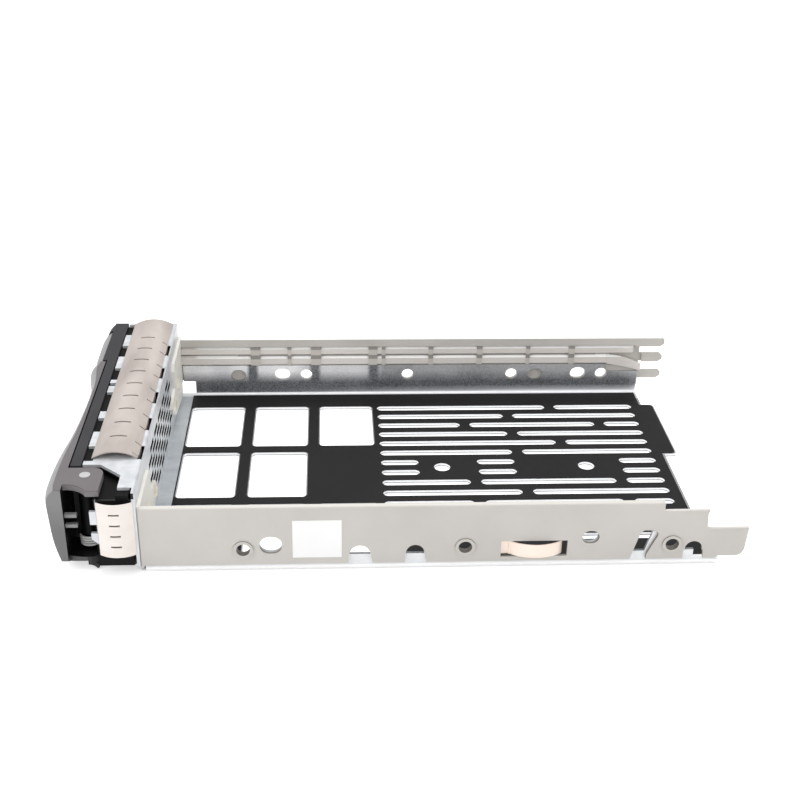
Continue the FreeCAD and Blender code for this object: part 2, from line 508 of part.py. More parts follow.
# ---- bezel body ----
BODY_BACK = -1.6
BODY_FRONT = -BEZEL_DEPTH
FLOOR_TOP = SHEET + 0.02
bezel_body = box(BODY_FRONT, BODY_BACK, -WALL + 0.1, SIDE - 0.1, FLOOR_TOP, TOP_IN - 0.03)
bezel_body = bezel_body.fuse(box(-10.3, BODY_BACK, -SIDE, -WALL + 0.3, SIDE_TOP + 0.05, TOP_IN - 0.03))
rim = [(-SIDE, 2.6), (-WALL + 0.2, 1.2), (-WALL + 0.2, SIDE_FOOT - 0.05), (-SIDE, SIDE_FOOT - 0.05)]
bezel_body = bezel_body.fuse(prism(rim, "x", -11.0, BODY_BACK))
BASE_BEVEL = [(-OUT, -1), (-OUT, 3.4), (-SIDE, 3.4), (-SIDE + 5.4, 0.5), (-SIDE + 5.4, -1)]
bezel_body = bezel_body.cut(prism(BASE_BEVEL, "x", -30, 0))
DUCT_Y = (POCKET_Y + 4.9, BUTTON_Y[0] - 8.2)
DUCT_Z = (4.0, BEZEL_HEIGHT - 4.0)
DUCTS = 6
duct_step = (DUCT_Y[1] - DUCT_Y[0]) / DUCTS
ducts = [box(-30, 0, DUCT_Y[0] + k * duct_step + 0.9, DUCT_Y[0] + (k + 1) * duct_step - 0.9,
             DUCT_Z[0], DUCT_Z[1]) for k in range(DUCTS)]
body_duct = box(BODY_FRONT - 1, 0, DUCT_Y[0], DUCT_Y[1], DUCT_Z[0], DUCT_Z[1])
bezel_body = bezel_body.cut(body_duct)
bezel_body = bezel_body.cut(box(BODY_FRONT - 1, 0, INNER - 0.1, FAR_SIDE, *PIPE_PASS))
# open corner for the handle's lugs: full height in front, shallow behind
bezel_body = bezel_body.cut(box(-30, -11.0, -OUT, POCKET_Y, 0, BEZEL_HEIGHT + 1))
swing = [(-11.1, POCKET_Y), (-10.6, POCKET_Y), (-4.9, POCKET_Y - 5.6), (-4.9, -OUT), (-11.1, -OUT)]
bezel_body = bezel_body.cut(prism(swing, "z", LUG_TOP[0] - 0.4, BEZEL_HEIGHT + 1))
bezel_body = bezel_body.cut(rod(7.3, (PIVOT[0], PIVOT[1], 0), (PIVOT[0], PIVOT[1], LUG_FOOT[1] + 0.3)))
boss = rod(BOSS_R, (PIVOT[0], PIVOT[1], 4.5), (PIVOT[0], PIVOT[1], LUG_TOP[0] - 0.3))
web = box(PIVOT[0] - 1.1, PIVOT[0] + 1.1, PIVOT[1], POCKET_Y + 0.5, 9.2, LUG_TOP[0] - 0.8)
bezel_body = bezel_body.fuse(boss).fuse(web)
bezel_body = bezel_body.cut(rod(PIN_R + 0.02, (PIVOT[0], PIVOT[1], 4), (PIVOT[0], PIVOT[1], BEZEL_HEIGHT)))
LATCH_Y = (BUTTON_Y[0] - 6.8, BUTTON_Y[0] + 6.8)
LATCH_Z = (9.2, 17.2)
bezel_body = bezel_body.cut(box(BODY_FRONT - 1, -11.4, LATCH_Y[0], LATCH_Y[1], LATCH_Z[0], LATCH_Z[1]))
SPRING_YZ = (BUTTON_Y[0] + 13.3, 8.0)
bezel_body = bezel_body.cut(rod(3.0, (BODY_FRONT - 1, *SPRING_YZ), (-13.0, *SPRING_YZ)))

BEZEL_SCREWS = [(-8.0, POCKET_Y + 3.8), (-8.0, BUTTON_Y[0] - 1.2), (-8.0, FAR_SIDE - 7.7)]
bezel_screws = []
for x, y in BEZEL_SCREWS:
    shank = rod(1.2, (x, y, 0), (x, y, 3.4))
    head = Part.makeCone(2.1, 1.2, SHEET, V(x, y, 0), V(0, 0, 1))
    bezel_screws.append(shank.fuse(head).cut(box(x - 1.2, x + 1.2, y - 0.2, y + 0.2, -1, 0.4)))
    floor_tray = floor_tray.cut(rod(1.2, (x, y, -1), (x, y, 3)).fuse(head))
    bezel_body = bezel_body.cut(rod(1.2, (x, y, 0), (x, y, 3.4)))
bezel_screws = Part.makeCompound(bezel_screws)

# ---- front panel ----
PANEL_FACE = -18.9
PANEL_Z = (0.6, BEZEL_HEIGHT - 0.2)
PANEL_END = FAR_SIDE + 0.4
LIP_Z = BEZEL_HEIGHT - 1.3
RECESS_X = -17.3
CHEEK_FRONT = -22.8
CHEEK_R = 4.0
front_panel = box(PANEL_FACE, BODY_FRONT - 0.05, POCKET_Y - 0.2, BUTTON_Y[0] - 1, *PANEL_Z)
front_panel = front_panel.fuse(box(-20.4, BODY_FRONT - 0.05, BUTTON_Y[0] - 1, PANEL_END, *PANEL_Z))
cheek = box(CHEEK_FRONT, -17, BUTTON_Y[1] + 0.3, PANEL_END, PANEL_Z[0], PANEL_Z[1])
corner = [e for e in cheek.Edges if e.BoundBox.XMax < CHEEK_FRONT + 0.01
          and (e.BoundBox.YMin > PANEL_END - 0.01 or e.BoundBox.ZMin > PANEL_Z[1] - 0.01)]
cheek = cheek.makeFillet(CHEEK_R, corner)
front_panel = front_panel.fuse(cheek)
front_panel = front_panel.cut(box(-30, RECESS_X, BUTTON_Y[0] - 0.3, BUTTON_Y[1] + 0.3, -1, LIP_Z))
front_panel = front_panel.cut(Part.makeCompound(ducts))
front_panel = front_panel.cut(box(-30, -10, LATCH_Y[0], LATCH_Y[1], LATCH_Z[0], LATCH_Z[1]))
front_panel = front_panel.cut(rod(3.0, (-30, *SPRING_YZ), (-10, *SPRING_YZ)))
LENS_Y = (INNER, SIDE)
for z0, z1 in PIPE_Z:
    front_panel = front_panel.cut(box(-30, -10, LENS_Y[0], LENS_Y[1], z0 - 0.2, z1 + 0.2))
ROCK = (-19.0, LIP_Z - 2.3)                      # X and Z of the button's rocking line
BUTTON_PIN_R = 0.75
EARS = [(BUTTON_Y[0] + 2.7, BUTTON_Y[0] + 4.4), (BUTTON_Y[1] - 4.4, BUTTON_Y[1] - 2.7)]
for y0, y1 in EARS:
    ear = rod(1.1, (ROCK[0], y0, ROCK[1]), (ROCK[0], y1, ROCK[1]))
    ear = ear.fuse(box(ROCK[0], RECESS_X + 0.2, y0, y1, ROCK[1] - 1.1, ROCK[1] + 1.1))
    front_panel = front_panel.fuse(ear)
front_panel = front_panel.cut(rod(BUTTON_PIN_R + 0.02, (ROCK[0], EARS[0][0] - 1, ROCK[1]),
                                  (ROCK[0], EARS[1][1] + 1, ROCK[1])))
PANEL_SCREWS = [(POCKET_Y + 2.2, 13.0), (BUTTON_Y[0] - 3.2, 6.0)]
panel_screws = []
for y, z in PANEL_SCREWS:
    shank = rod(1.0, (PANEL_FACE, y, z), (-11.5, y, z))
    head = Part.makeCone(1.9, 1.0, 1.0, V(PANEL_FACE, y, z), V(1, 0, 0))
    hole = shank.fuse(head)
    slot = box(PANEL_FACE - 1, PANEL_FACE + 0.4, y - 1.2, y + 1.2, z - 0.2, z + 0.2)
    panel_screws.append(hole.cut(slot))
    front_panel = front_panel.cut(hole)
    bezel_body = bezel_body.cut(hole)
panel_screws = Part.makeCompound(panel_screws)

lenses = {}
for name, (z0, z1) in zip(("indicator_lens_upper", "indicator_lens_lower"), PIPE_Z):
    lens = box(CHEEK_FRONT - 0.25, PIPE_FRONT - 0.05, LENS_Y[0] + 0.1, LENS_Y[1] - 0.1, z0 - 0.1, z1 + 0.1)
    lenses[name] = lens

# ---- handle: bowed bar, two lugs at the pivot, ribs, grille and latch hook ----
BAR_BACK = -19.3
BAR_END = BUTTON_Y[0] - 2.0


def bar_section(y, push, low, high, back):
    """Side section of a bar at one place along Y. push moves its rounded front forwards."""
    tall = high - low
    edge = push / 2
    sill = min(-20.3 - edge, back - 0.6)
    nose = Part.BSplineCurve()
    nose.interpolate([V(-20.7 - edge, y, high), V(-22.5 - push, y, high - 2.0),
                      V(-22.9 - push, y, high - 0.3 * tall), V(-22.2 - push, y, low + 0.34 * tall),
                      V(sill, y, low)])
    return Part.Wire([
        Part.makeLine(V(back, y, low), V(back, y, high)),
        Part.makeLine(V(back, y, high), V(-20.7 - edge, y, high)),
        nose.toShape(),
        Part.makeLine(V(sill, y, low), V(back, y, low)),
    ])


# the bar's plan: place along it, and how far its front stands forward there
BAR_START = -SIDE + 1.8
BAR_LENGTH = BAR_END - BAR_START
BAR_PLAN = [(0, 0.3), (0.07, 1.2), (0.17, 1.2), (0.28, 0.7), (0.41, -0.4), (0.56, -1.1), (0.72, -1.4),
            (0.84, -0.8), (0.92, 0.4), (0.97, 0.7), (1, 0.0)]
handle = Part.makeLoft([bar_section(BAR_START + part * BAR_LENGTH, push, LUG_FOOT[0], LUG_TOP[1], BAR_BACK)
                        for part, push in BAR_PLAN], True, False)
top_lug = box(-21.4, -9.5, -SIDE + 1.4, POCKET_Y - 1.2, *LUG_TOP)
corner = [e for e in top_lug.Edges if e.BoundBox.ZLength > 1 and e.BoundBox.XMin > -9.6
          and e.BoundBox.YMin > POCKET_Y - 1.3]
top_lug = top_lug.makeFillet(3.2, corner)
top_lug = top_lug.cut(rod(6.3, (-18.5, -SIDE - 1.5, 0), (-18.5, -SIDE - 1.5, OUT)))
near_end = -SIDE + 3.2
foot_lug = prism([(-20.5, near_end + 1.6), (-18.6, near_end + 0.5), (-16.4, near_end),
                  (-13.4, near_end - 0.2), (-11.9, near_end + 0.5), (-11.0, near_end + 2.2), (-11.0, POCKET_Y - 1.8),
                  (-20.5, POCKET_Y - 1.8)], "z", *LUG_FOOT)
handle = handle.fuse(top_lug).fuse(foot_lug)
RIB_Y = (-SIDE + 2.9, -SIDE + 4.1)        # two short ribs stand out of the bar's back at its near end
for z in (13.7, 16.8):
    handle = handle.fuse(box(-19.8, -16.1, *RIB_Y, z, z + 1.0))
# the foot ends in a small claw under its near corner, and the bar's near foot is bevelled as the bezel's is
claw = [(-14.4, LUG_FOOT[0] + 0.2), (-12.7, 0.9), (-12.1, 0.25), (-11.6, 0.5), (-11.3, LUG_FOOT[0] + 0.2)]
BAR_BEVEL = [(-OUT, -1), (-OUT, 4.8), (-SIDE, 4.8), (-SIDE + 5.1, LUG_FOOT[0]), (-SIDE + 5.1, -1)]
handle = handle.cut(prism(BAR_BEVEL, "x", -30, -14.4))
handle = handle.fuse(prism(claw, "y", near_end + 0.1, near_end + 1.6))
handle = handle.cut(Part.makeCompound(ducts).common(box(-30, -10, *DUCT_Y, DUCT_Z[0] + 1.5, DUCT_Z[1] - 1.7)))
HOOK_Y = (BUTTON_Y[0] - 6.0, BUTTON_Y[0] - 2.8)
handle = handle.fuse(box(-19.8, -12.9, HOOK_Y[0], HOOK_Y[1], 10.2, 12.0))
handle = handle.fuse(box(-14.0, -12.9, HOOK_Y[0], HOOK_Y[1], 11.9, 12.8))
handle = handle.cut(rod(PIN_R + 0.05, (PIVOT[0], PIVOT[1], 0), (PIVOT[0], PIVOT[1], OUT)))

# ---- release button: rocks on its pin; its catch bar lies over the handle's hook ----
BUTTON_PLAN = [(0, -0.5), (0.12, 0.5), (0.4, 0.9), (0.7, 1.0), (0.9, 0.9), (1, 0.7)]
BUTTON_LENGTH = BUTTON_Y[1] - BUTTON_Y[0]
plates = [bar_section(BUTTON_Y[0] + part * BUTTON_LENGTH, push, 2.2, LIP_Z - 0.3, -20.35)
          for part, push in BUTTON_PLAN]
release_button = Part.makeLoft(plates, True, False)
knuckle = box(-20.5, RECESS_X - 0.6, EARS[0][1] + 0.3, EARS[1][0] - 0.3, ROCK[1] - 1.2, ROCK[1] + 1.2)
release_button = release_button.fuse(knuckle)
arm_end = BUTTON_Y[0] + 3.6
release_button = release_button.fuse(box(-20.5, -14.2, BUTTON_Y[0] + 0.6, arm_end, 13.2, 15.0))
release_button = release_button.fuse(box(-15.6, -14.2, HOOK_Y[0], arm_end, 12.95, 15.0))
rock_axle = rod(BUTTON_PIN_R + 0.05, (ROCK[0], BUTTON_Y[0] - 1, ROCK[1]), (ROCK[0], BUTTON_Y[1] + 1, ROCK[1]))
release_button = release_button.cut(rock_axle)
button_pin = rod(BUTTON_PIN_R, (ROCK[0], EARS[0][0], ROCK[1]), (ROCK[0], EARS[1][1], ROCK[1]))

# ---- springs ----
WIRE = 0.3
button_spring = coil((0, 0, 0), 2.1, 0.28, 1.35, 4.85)
button_spring.rotate(V(0, 0, 0), V(0, 1, 0), 90)
button_spring.translate(V(-20.0, SPRING_YZ[0], SPRING_YZ[1]))
handle_spring = coil((PIVOT[0], PIVOT[1], 4.9), 2.8, WIRE, 0.8, 4)

PARTS = {
    "floor_tray": floor_tray,
    "floor_film": floor_film,
    "near_rail": near_rail,
    "far_rail": far_rail,
    "light_pipe_upper": light_pipe_upper,
    "light_pipe_lower": light_pipe_lower,
    "pipe_carrier": pipe_carrier,
    "front_bracket": front_bracket,
    "flange_rivets": flange_rivets,
    "near_eyelets": near_eyelets,
    "top_gasket": top_gasket,
    "side_gasket": side_gasket,
    "ground_spring": ground_spring,
    "blank_label": blank_label,
    "bezel_body": bezel_body,
    "bezel_screws": bezel_screws,
    "front_panel": front_panel,
    "panel_screws": panel_screws,
    "indicator_lens_upper": lenses["indicator_lens_upper"],
    "indicator_lens_lower": lenses["indicator_lens_lower"],
    "handle": handle,
    "pivot_pin": pivot_pin,
    "pin_clip": pin_clip,
    "handle_spring": handle_spring,
    "release_button": release_button,
    "button_pin": button_pin,
    "button_spring": button_spring,
}
for name, shape in PARTS.items():
    save(name, shape)
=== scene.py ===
"""Looks of the hot swap drive caddy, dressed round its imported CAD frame. Units are metres."""

import math

import bmesh
import bpy
from mathutils import Matrix, Vector


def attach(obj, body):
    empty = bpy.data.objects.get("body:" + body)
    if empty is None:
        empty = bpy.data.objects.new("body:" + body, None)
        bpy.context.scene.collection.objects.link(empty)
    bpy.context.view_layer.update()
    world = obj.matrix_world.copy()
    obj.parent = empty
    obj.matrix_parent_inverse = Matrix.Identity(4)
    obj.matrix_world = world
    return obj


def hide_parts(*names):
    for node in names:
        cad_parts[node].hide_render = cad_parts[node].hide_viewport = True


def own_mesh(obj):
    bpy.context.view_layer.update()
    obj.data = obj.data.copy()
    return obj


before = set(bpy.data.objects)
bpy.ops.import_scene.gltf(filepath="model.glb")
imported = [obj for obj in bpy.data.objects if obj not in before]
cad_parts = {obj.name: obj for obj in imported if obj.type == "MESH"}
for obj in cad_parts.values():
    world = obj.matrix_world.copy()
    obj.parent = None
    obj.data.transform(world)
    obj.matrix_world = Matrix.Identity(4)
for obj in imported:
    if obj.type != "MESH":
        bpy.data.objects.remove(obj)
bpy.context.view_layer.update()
MM = 0.001
scene = bpy.context.scene
scene.view_settings.view_transform = "Standard"


# ---------------------------------------------------------------- camera
CAMERA_AT = Vector((0.05099, -0.32818, 0.19826))
AZIMUTH = math.radians(-3.63)
ELEVATION = math.radians(27.80)
ROLL = math.radians(1.29)
LENS = 55.73                      # mm
SENSOR = 36                       # mm
NEAR_CLIP = 0.01

back = Vector((math.sin(AZIMUTH) * math.cos(ELEVATION), -math.cos(AZIMUTH) * math.cos(ELEVATION),
               math.sin(ELEVATION)))
right = (-back).cross(Vector((0, 0, 1))).normalized()
above = right.cross(-back)
turned = math.cos(ROLL) * right + math.sin(ROLL) * above
upright = -math.sin(ROLL) * right + math.cos(ROLL) * above
camera_data = bpy.data.cameras.new("camera")
camera_data.sensor_width = SENSOR
camera_data.lens = LENS
camera_data.clip_start = NEAR_CLIP
camera = bpy.data.objects.new("camera", camera_data)
scene.collection.objects.link(camera)
camera.matrix_world = Matrix.Translation(CAMERA_AT) @ Matrix((turned, upright, back)).transposed().to_4x4()
scene.camera = camera


# ---------------------------------------------------------------- material kit
class Graph:
    """A material's node tree, with short ways to add nodes to it."""

    def __init__(self, name):
        self.material = bpy.data.materials.new(name)
        self.material.use_nodes = True
        self.nodes = self.material.node_tree.nodes
        self.links = self.material.node_tree.links
        self.shader = self.nodes["Principled BSDF"]

    def node(self, kind, values=None, **settings):
        made = self.nodes.new(kind)
        for key, value in settings.items():
            setattr(made, key, value)
        for key, value in (values or {}).items():
            self.put(made.inputs[key], value)
        return made

    def put(self, socket, value):
        """Links a socket to another's output, or sets its plain value."""
        if isinstance(value, bpy.types.NodeSocket):
            self.links.new(value, socket)
        else:
            socket.default_value = value

    def place(self, stretch=(1, 1, 1)):
        """The point being shaded, stretched along an axis where a grain runs."""
        coords = self.node("ShaderNodeTexCoord")
        mapping = self.node("ShaderNodeMapping", {"Vector": coords.outputs["Object"], "Scale": stretch})
        return mapping.outputs["Vector"]

    def noise(self, scale, detail=3.0, stretch=(1, 1, 1), roughness=0.5):
        made = self.node("ShaderNodeTexNoise", {"Vector": self.place(stretch), "Scale": scale,
                                                "Detail": detail, "Roughness": roughness})
        return made.outputs["Fac"]

    def spread(self, factor, low, high, low_in=0.0, high_in=1.0):
        """The factor's range from low_in to high_in, spread from low to high."""
        made = self.node("ShaderNodeMapRange", {"Value": factor, "From Min": low_in, "From Max": high_in,
                                                "To Min": low, "To Max": high})
        return made.outputs["Result"]

    def mix(self, factor, a, b):
        """Colour a where factor is 0, b where it is 1."""
        made = self.node("ShaderNodeMix", data_type="RGBA")
        self.put(made.inputs[0], factor)
        self.put(made.inputs[6], a)
        self.put(made.inputs[7], b)
        return made.outputs[2]

    def sum(self, a, b, share=0.5):
        """A value between a and b, with this share of b."""
        made = self.node("ShaderNodeMix", data_type="FLOAT")
        self.put(made.inputs[0], share)
        self.put(made.inputs[2], a)
        self.put(made.inputs[3], b)
        return made.outputs[0]

    def bump(self, height, strength, distance):
        made = self.node("ShaderNodeBump", {"Height": height, "Strength": strength, "Distance": distance})
        self.put(self.shader.inputs["Normal"], made.outputs["Normal"])


def srgb(r, g, b):
    """A colour as it looks on screen, 0 to 255, as the shader's linear one."""
    def channel(v):
        v /= 255
        return v / 12.92 if v <= 0.04045 else ((v + 0.055) / 1.055) ** 2.4
    return (channel(r), channel(g), channel(b), 1.0)


NOISE_RANGE = (0.3, 0.7)          # where nearly all of a noise's values lie
GRAIN_DEPTH = 0.02 * MM
ROUGH_VARY = 0.06


def finish(name, dark, light, metallic, rough, tone_scale, grain_scale, grain, stretch=(1, 1, 1)):
    """A surface whose colour wanders between two tones, with a fine grain in its gloss and its height."""
    g = Graph(name)
    broad = g.noise(tone_scale, 4.0, stretch)
    tone = g.spread(broad, 0.0, 1.0, *NOISE_RANGE)
    g.put(g.shader.inputs["Base Color"], g.mix(tone, srgb(*dark), srgb(*light)))
    g.shader.inputs["Metallic"].default_value = metallic
    fine = g.noise(grain_scale, 2.0, stretch)
    g.put(g.shader.inputs["Roughness"],
          g.spread(g.sum(broad, fine), rough - ROUGH_VARY, rough + ROUGH_VARY, *NOISE_RANGE))
    if grain:
        g.bump(fine, grain, GRAIN_DEPTH)
    return g.material


def dress(node, material):
    """Gives a CAD node its new material in every slot."""
    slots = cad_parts[node].data.materials
    if not slots:
        slots.append(material)
    for i in range(len(slots)):
        slots[i] = material


def where(g):
    """The point being shaded, in metres, as its X, Y and Z."""
    coords = g.node("ShaderNodeTexCoord")
    split = g.node("ShaderNodeSeparateXYZ", {"Vector": coords.outputs["Object"]})
    return split.outputs["X"], split.outputs["Y"], split.outputs["Z"]


def sloped(g, value, low, high):
    """0 below low, 1 above high, rising between them. Both are in millimetres."""
    made = g.node("ShaderNodeMapRange", {"Value": value, "From Min": low * MM, "From Max": high * MM})
    return made.outputs["Result"]


def times(g, *factors):
    """1 where every factor is 1."""
    out = factors[0]
    for factor in factors[1:]:
        out = g.node("ShaderNodeMath", {0: out, 1: factor}, operation="MULTIPLY").outputs[0]
    return out


def inverse(g, value):
    """1 where the value is 0, and 0 where it is 1."""
    return g.node("ShaderNodeMath", {0: 1.0, 1: value}, operation="SUBTRACT").outputs[0]


def either(g, *factors):
    """1 where any factor is 1."""
    out = factors[0]
    for factor in factors[1:]:
        out = g.node("ShaderNodeMath", {0: out, 1: factor}, operation="MAXIMUM").outputs[0]
    return out


def falling(g, value, low, high):
    """1 below low, 0 above high, falling between them."""
    return inverse(g, sloped(g, value, low, high))


def between(g, value, low, high, soft=0.05):
    """1 from low to high, 0 outside, with edges that soften over a few hundredths of a millimetre."""
    return times(g, sloped(g, value, low - soft, low), falling(g, value, high, high + soft))


# Heights and places in the masks below are in the part's frame, in millimetres.
CLIP_SHADOWS_X = (24.7, 45.8, 65.7)     # where the light pipes' clips shade the floor's far side
CLIP_SHADOW_HALF = 1.0
CLIP_SHADOW_SOFT = 1.2


def floor_steel():
    """Galvanised sheet, dark and grainy: painted sheen makes its far side pale under the light pipes, save
    for painted clip shadows, and painted highlights brighten its far foot, its bend and its cut edges.
    """
    g = Graph("galvanised floor")
    x, y, z = where(g)
    mottle = g.spread(g.noise(260, 5.0, (0.5, 1, 1), 0.65), 0.0, 1.0, *NOISE_RANGE)
    speck = g.spread(g.noise(2500, 2.0), 0.0, 1.0, 0.34, 0.66)
    patch = g.spread(g.noise(55, 1.0, (1, 1, 0.2)), 0.65, 0.9, 0.42, 0.55)
    steel = g.mix(g.sum(mottle, speck, 0.7), srgb(78, 80, 84), srgb(146, 148, 152))

    # Painted sheen: the far side is painted pale under the light pipes, weaker towards the rear, except in
    # the painted shadows of their clips.
    painted_sheen = g.mix(g.sum(mottle, speck, 0.5), srgb(238, 238, 241), srgb(255, 255, 255))
    shaded = either(g, *(between(g, x, middle - CLIP_SHADOW_HALF, middle + CLIP_SHADOW_HALF, CLIP_SHADOW_SOFT)
                         for middle in CLIP_SHADOWS_X))
    sheen_less_at_rear = g.spread(sloped(g, x, 66.0, 69.0), 1.0, 0.5)
    far_sheen = times(g, sloped(g, z, 5.2, 9.4), times(g, patch, inverse(g, shaded), sheen_less_at_rear))
    steel = g.mix(far_sheen, steel, painted_sheen)

    # Painted highlight: the far foot is painted pale towards the bend.
    far_foot_highlight = times(g, sloped(g, x, 30.0, 115.0), falling(g, z, 1.5, 3.7), sloped(g, y, 45.0, 46.0))
    steel = g.mix(far_foot_highlight, steel, srgb(215, 217, 221))
    front_strip = times(g, falling(g, x, 4.6, 5.6), falling(g, z, 2.0, 3.0))
    steel = g.mix(front_strip, steel, g.mix(mottle, srgb(155, 162, 168), srgb(186, 192, 197)))
    # Painted highlights: the far bend and the sheet's cut edges are painted near white.
    bend_highlight = times(g, falling(g, z, 1.3, 1.5), sloped(g, y, 48.6, 49.4))
    cut_edge_highlight = times(g, between(g, z, 0.25, 0.86), between(g, y, -49.5, 49.5))
    steel = g.mix(either(g, bend_highlight, cut_edge_highlight), steel, srgb(242, 243, 245))
    near_foot = times(g, falling(g, y, -51.2, -50.6), falling(g, z, 3.3, 3.5))
    steel = g.mix(near_foot, steel, srgb(251, 251, 252))
    near_outside = times(g, falling(g, y, -51.88, -51.84), sloped(g, z, 2.0, 2.1))
    steel = g.mix(near_outside, steel, g.mix(mottle, srgb(214, 216, 219), srgb(236, 237, 239)))

    g.put(g.shader.inputs["Base Color"], steel)
    g.shader.inputs["Metallic"].default_value = 0.35
    g.put(g.shader.inputs["Roughness"], g.spread(g.sum(mottle, speck), 0.32, 0.5, *NOISE_RANGE))
    g.bump(g.sum(mottle, speck), 0.12, 0.03 * MM)
    return g.material


def bracket_steel():
    """Bright galvanised sheet; its vents, hook slots and what lies behind the side gasket are painted near
    black, as painted shade.
    """
    g = Graph("galvanised bracket")
    x, y, z = where(g)
    mottle = g.spread(g.noise(300, 4.0), 0.0, 1.0, *NOISE_RANGE)
    steel = g.mix(mottle, srgb(198, 201, 204), srgb(220, 222, 225))
    # Painted shade: the vent walls, the hook slots and the sheet behind the side gasket are painted near
    # black.
    vents = times(g, between(g, x, -1.1, -0.14), between(g, y, -50.2, 50.2), between(g, z, 3.1, 22.3))
    hook_slots = times(g, between(g, x, -1.5, -0.28), between(g, z, 24.2, 25.95))
    behind_gasket = times(g, between(g, x, -10.3, -1.0), falling(g, y, -51.85, -51.8),
                          falling(g, z, 23.9, 24.0))
    dark = either(g, vents, hook_slots, behind_gasket)
    g.put(g.shader.inputs["Base Color"], g.mix(dark, steel, srgb(12, 12, 13)))
    g.shader.inputs["Metallic"].default_value = 0.35
    g.put(g.shader.inputs["Roughness"], g.spread(mottle, 0.36, 0.48))
    g.bump(g.noise(1500, 3.0), 0.06, GRAIN_DEPTH)
    return g.material


def rail_steel(name, dark, light, flange_highlight, top):
    """Plated sheet with a fine satin grain; its front flange and its top edge are painted lighter, as painted
    highlights where they catch more light, and its hole walls are painted darker, as painted shade.
    """
    g = Graph(name)
    x, y, z = where(g)
    broad = g.spread(g.noise(45, 4.0), 0.0, 1.0, *NOISE_RANGE)
    steel = g.mix(broad, srgb(*dark), srgb(*light))
    # Painted highlights on the front flange and on the top edge, and painted shade on the walls of the holes.
    front_flange = times(g, falling(g, x, 0.95, 1.0), sloped(g, y, -51.8, -51.7))
    steel = g.mix(front_flange, steel, srgb(*flange_highlight))
    top_edge = times(g, sloped(g, z, 21.05, 21.15), sloped(g, x, 1.0, 1.1))
    steel = g.mix(top_edge, steel, srgb(*top))
    hole_walls = times(g, between(g, y, -52.7, -50.9), sloped(g, x, 1.2, 1.3), falling(g, z, 12.5, 12.6))
    steel = g.mix(hole_walls, steel, srgb(124, 121, 116))
    g.put(g.shader.inputs["Base Color"], steel)
    fine = g.noise(2600, 2.0)
    g.put(g.shader.inputs["Roughness"], g.spread(g.sum(broad, fine), 0.44, 0.56, *NOISE_RANGE))
    g.bump(fine, 0.05, GRAIN_DEPTH)
    return g.material


def eyelet_steel():
    """The eyelets' faces match the rail; their edges and bores are painted darker, as painted shade."""
    g = Graph("eyelet steel")
    x, y, z = where(g)
    broad = g.noise(200, 2.0)
    face = g.mix(broad, srgb(196, 192, 186), srgb(206, 202, 196))
    g.put(g.shader.inputs["Base Color"], g.mix(sloped(g, y, -53.08, -53.05), face, srgb(112, 108, 102)))
    g.put(g.shader.inputs["Roughness"], g.spread(g.noise(2000, 2.0), 0.38, 0.5))
    return g.material


def handle_plastic(name):
    """Grey moulding with a paler front skin and a black inner side; painted shade darkens its top faces, the
    grey edges round the pocket, its near end and its sole.
    """
    g = Graph(name)
    x, y, z = where(g)
    broad = g.noise(60, 3.0)
    skin = g.mix(broad, srgb(138, 137, 138), srgb(152, 151, 152))
    # Painted shade: the top faces are painted darker than the front, and the rim round the pocket a shaded
    # grey.
    shaded_top = g.mix(broad, srgb(102, 98, 100), srgb(112, 108, 110))
    top = either(g, sloped(g, z, 25.75, 25.85),
                 times(g, sloped(g, z, 24.1, 24.15), sloped(g, x, -19.3, -19.2)))
    rim = between(g, z, 24.1, 25.7)
    skin = g.mix(top, skin, g.mix(rim, shaded_top, srgb(124, 120, 122)))
    # Painted shade on the near end, darker towards the bottom.
    end = times(g, falling(g, y, -50.95, -50.9), inverse(g, top))
    end_shade = g.mix(sloped(g, z, 13.0, 22.0), srgb(116, 116, 117), srgb(134, 134, 135))
    skin = g.mix(end, skin, end_shade)

    inner = times(g, sloped(g, x, -20.25, -20.15), inverse(g, top))
    ribs = times(g, sloped(g, x, -19.25, -19.2), between(g, z, 13.6, 17.9))
    # Painted shade under the sole, darker further back.
    sole = times(g, falling(g, z, 4.1, 4.15), falling(g, y, -46.5, -46.0))
    sole_shade = g.mix(sloped(g, x, -14.6, -14.4), srgb(88, 88, 89), srgb(52, 52, 53))
    skin = g.mix(times(g, sole, inner, inverse(g, end)), skin, sole_shade)
    black = times(g, inner, inverse(g, either(g, end, ribs, sole)))
    g.put(g.shader.inputs["Base Color"], g.mix(black, skin, srgb(14, 14, 15)))
    grain = g.noise(2200, 2.0)
    g.put(g.shader.inputs["Roughness"], g.spread(grain, 0.42, 0.56, *NOISE_RANGE))
    g.bump(grain, 0.12, GRAIN_DEPTH)
    return g.material


def dull(material, level):
    """Lowers a surface's mirror-like share."""
    material.node_tree.nodes["Principled BSDF"].inputs["Specular IOR Level"].default_value = level
    return material


def clear_plastic():
    """Light pipe: pale, with a painted highlight line where its upper edge is bevelled."""
    g = Graph("light pipe")
    x, y, z = where(g)
    broad = g.noise(80, 2.0, (0.15, 1, 1))
    body = g.mix(broad, srgb(216, 210, 204), srgb(230, 225, 219))
    lit_line_heights = either(g, between(g, z, 14.1, 14.9), between(g, z, 17.5, 18.3))
    behind_front = sloped(g, x, 5.0, 7.0)
    # Painted highlight: near-white lines along the pipes' upper edges, behind the front.
    g.put(g.shader.inputs["Base Color"], g.mix(times(g, lit_line_heights, behind_front), body, srgb(255, 255, 254)))
    g.shader.inputs["IOR"].default_value = 1.49
    g.put(g.shader.inputs["Roughness"], g.spread(g.noise(900, 2.0, (0.2, 1, 1)), 0.1, 0.22))
    return g.material


